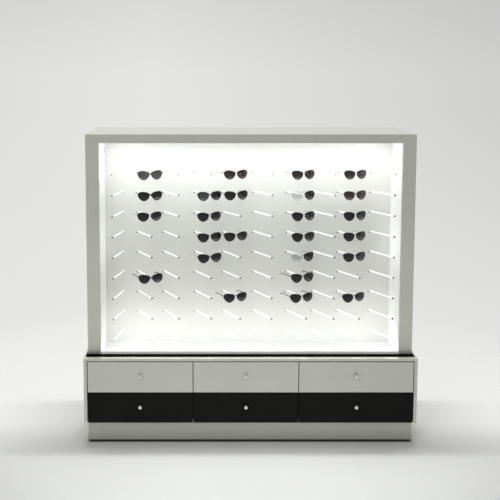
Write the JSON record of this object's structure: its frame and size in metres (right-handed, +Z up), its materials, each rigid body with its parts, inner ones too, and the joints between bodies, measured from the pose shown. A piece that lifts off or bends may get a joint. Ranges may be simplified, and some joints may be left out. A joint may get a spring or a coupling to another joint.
{
  "type": "eyewear display cabinet",
  "caption": "Free-standing eyewear display cabinet: lit open-fronted case with rows of slanting rods holding sunglasses, on a low base with drawers and a recessed plinth.",
  "frame": {"origin": "middle of the footprint, on the floor under the feet, halfway between the knobs' tips and the back", "axes": "+X to the viewer's right along the length, +Y from the front to the back, +Z up"},
  "size_m": [1.61, 0.616, 1.5],
  "materials": {
    "silver_lacquer": "MDF with satin silver-grey lacquer",
    "black_lacquer": "MDF with satin black lacquer",
    "black_inlay": "black laminate board, semi-gloss",
    "white_lacquer": "MDF with matt white lacquer",
    "white_board": "white melamine-faced board",
    "zinc_steel": "bright zinc-plated sheet steel",
    "polished_chrome": "polished chrome plate",
    "light_profile": "satin anodised profile",
    "light_opal": "opal polycarbonate, lit from behind",
    "clear_rod": "clear polished acrylic",
    "grey_plastic": "moulded grey ABS",
    "black_plastic": "moulded black nylon",
    "black_acetate": "polished black acetate",
    "tinted_lens": "tinted CR-39 sun lens"
  },
  "bodies": {
    "cabinet": {"plinth": "silver_lacquer", "levelling_feet": "black_plastic", "base_bottom": "silver_lacquer", "base_side_left": "silver_lacquer", "base_side_right": "silver_lacquer", "base_dividers": "white_board", "base_top": "silver_lacquer", "base_back": "white_board", "counter_inlay": "black_inlay", "runner_outer": "zinc_steel", "case_header": "silver_lacquer", "case_stile_left": "silver_lacquer", "case_stile_right": "silver_lacquer", "case_rail": "silver_lacquer", "case_sides": "silver_lacquer", "case_top": "silver_lacquer", "case_floor": "white_lacquer", "case_back": "white_board", "service_hatch": "white_board", "side_linings": "white_lacquer", "ceiling_lining": "white_lacquer", "light_panel": "white_lacquer", "led_channels": "light_profile", "led_diffusers": "light_opal", "led_driver": "light_profile", "cable_outlet": "black_plastic", "rods": "clear_rod", "rod_caps": "grey_plastic", "sunglasses_frames": "black_acetate", "sunglasses_lenses": "tinted_lens"},
    "drawer_1": {"drawer_front_1": "silver_lacquer", "drawer_box_1": "white_board", "knob_1": "polished_chrome", "runner_inner_1": "zinc_steel"},
    "slide_1": {"runner_middle_1": "zinc_steel"},
    "drawer_2": {"drawer_front_2": "silver_lacquer", "drawer_box_2": "white_board", "knob_2": "polished_chrome", "runner_inner_2": "zinc_steel"},
    "slide_2": {"runner_middle_2": "zinc_steel"},
    "drawer_3": {"drawer_front_3": "silver_lacquer", "drawer_box_3": "white_board", "knob_3": "polished_chrome", "runner_inner_3": "zinc_steel"},
    "slide_3": {"runner_middle_3": "zinc_steel"},
    "drawer_4": {"drawer_front_4": "black_lacquer", "drawer_box_4": "white_board", "knob_4": "polished_chrome", "runner_inner_4": "zinc_steel"},
    "slide_4": {"runner_middle_4": "zinc_steel"},
    "drawer_5": {"drawer_front_5": "black_lacquer", "drawer_box_5": "white_board", "knob_5": "polished_chrome", "runner_inner_5": "zinc_steel"},
    "slide_5": {"runner_middle_5": "zinc_steel"},
    "drawer_6": {"drawer_front_6": "black_lacquer", "drawer_box_6": "white_board", "knob_6": "polished_chrome", "runner_inner_6": "zinc_steel"},
    "slide_6": {"runner_middle_6": "zinc_steel"}
  },
  "joints": [
    {"name": "drawer_1_slide", "type": "slide", "parent": "cabinet", "child": "drawer_1", "axis": [0, -1, 0], "range_m": [0, 0.46]},
    {"name": "drawer_2_slide", "type": "slide", "parent": "cabinet", "child": "drawer_2", "axis": [0, -1, 0], "range_m": [0, 0.46]},
    {"name": "drawer_3_slide", "type": "slide", "parent": "cabinet", "child": "drawer_3", "axis": [0, -1, 0], "range_m": [0, 0.46]},
    {"name": "drawer_4_slide", "type": "slide", "parent": "cabinet", "child": "drawer_4", "axis": [0, -1, 0], "range_m": [0, 0.46]},
    {"name": "drawer_5_slide", "type": "slide", "parent": "cabinet", "child": "drawer_5", "axis": [0, -1, 0], "range_m": [0, 0.46]},
    {"name": "drawer_6_slide", "type": "slide", "parent": "cabinet", "child": "drawer_6", "axis": [0, -1, 0], "range_m": [0, 0.46]},
    {"name": "runner_1_slide", "type": "slide", "parent": "cabinet", "child": "slide_1", "axis": [0, -1, 0], "range_m": [0, 0.23]},
    {"name": "runner_2_slide", "type": "slide", "parent": "cabinet", "child": "slide_2", "axis": [0, -1, 0], "range_m": [0, 0.23]},
    {"name": "runner_3_slide", "type": "slide", "parent": "cabinet", "child": "slide_3", "axis": [0, -1, 0], "range_m": [0, 0.23]},
    {"name": "runner_4_slide", "type": "slide", "parent": "cabinet", "child": "slide_4", "axis": [0, -1, 0], "range_m": [0, 0.23]},
    {"name": "runner_5_slide", "type": "slide", "parent": "cabinet", "child": "slide_5", "axis": [0, -1, 0], "range_m": [0, 0.23]},
    {"name": "runner_6_slide", "type": "slide", "parent": "cabinet", "child": "slide_6", "axis": [0, -1, 0], "range_m": [0, 0.23]}
  ],
  "couplings": [
    {"joint": "runner_1_slide", "follows": "drawer_1_slide", "ratio": 0.5},
    {"joint": "runner_2_slide", "follows": "drawer_2_slide", "ratio": 0.5},
    {"joint": "runner_3_slide", "follows": "drawer_3_slide", "ratio": 0.5},
    {"joint": "runner_4_slide", "follows": "drawer_4_slide", "ratio": 0.5},
    {"joint": "runner_5_slide", "follows": "drawer_5_slide", "ratio": 0.5},
    {"joint": "runner_6_slide", "follows": "drawer_6_slide", "ratio": 0.5}
  ]
}
